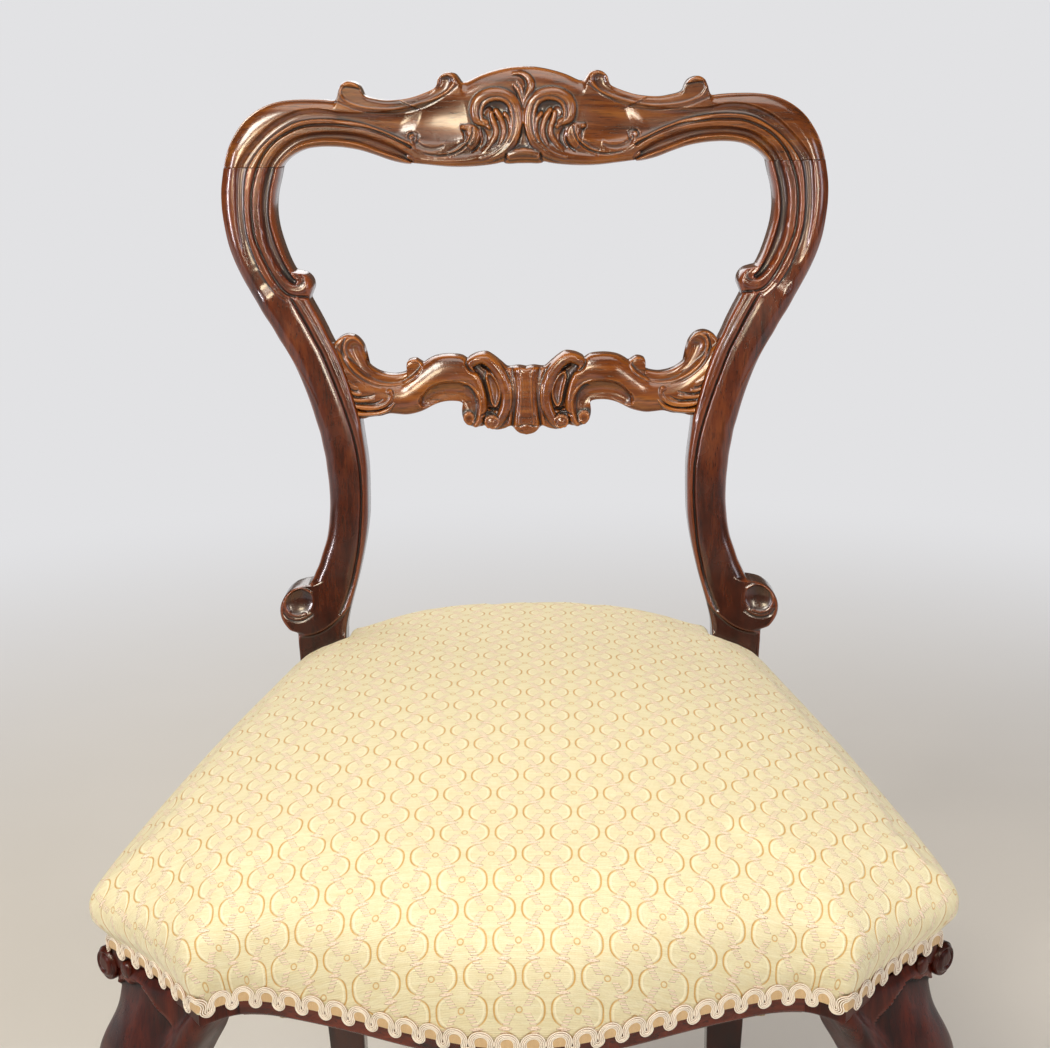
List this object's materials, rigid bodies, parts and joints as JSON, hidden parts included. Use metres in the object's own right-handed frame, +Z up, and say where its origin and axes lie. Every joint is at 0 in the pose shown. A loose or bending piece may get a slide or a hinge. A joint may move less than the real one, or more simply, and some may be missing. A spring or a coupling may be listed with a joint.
{
  "type": "balloon back dining chair",
  "caption": "Carved balloon back dining chair with cabriole front legs, swept rear legs and a sprung, stuffed serpentine seat edged with corded braid.",
  "frame": {"origin": "on the floor, at the middle of the overall width and depth", "axes": "+Z up, the seat faces -Y, and +X runs across the chair to the right as seen from the front"},
  "size_m": [0.5004, 0.5394, 0.875],
  "materials": {
    "rosewood": "French polished",
    "beech": "bare, aged",
    "dowel_wood": "bare",
    "screw_steel": "dull",
    "spring_wire": "coppered wire",
    "webbing": "woven jute",
    "hessian": "woven jute",
    "horsehair": "curled hair and wadding",
    "damask": "woven damask",
    "gimp": "corded braid"
  },
  "bodies": {
    "root": {"crest_rail": "rosewood", "stile_left": "rosewood", "stile_right": "rosewood", "mid_rail": "rosewood", "crest_dowels": "dowel_wood", "mid_rail_dowels": "dowel_wood", "front_leg_left": "rosewood", "front_leg_right": "rosewood", "front_rail": "rosewood", "side_rail_left": "beech", "side_rail_right": "beech", "back_rail": "beech", "front_rail_dowels": "dowel_wood", "side_rail_dowels": "dowel_wood", "back_rail_dowels": "dowel_wood", "block_front_left": "beech", "block_front_right": "beech", "block_rear_left": "beech", "block_rear_right": "beech", "block_screws": "screw_steel", "webbing_lengthwise": "webbing", "webbing_crosswise": "webbing", "spring_front_left": "spring_wire", "spring_front_right": "spring_wire", "spring_centre": "spring_wire", "spring_rear_left": "spring_wire", "spring_rear_right": "spring_wire", "spring_canvas": "hessian", "stuffing": "horsehair", "seat_cover": "damask", "gimp_front": "gimp", "gimp_back": "gimp"}
  },
  "joints": []
}
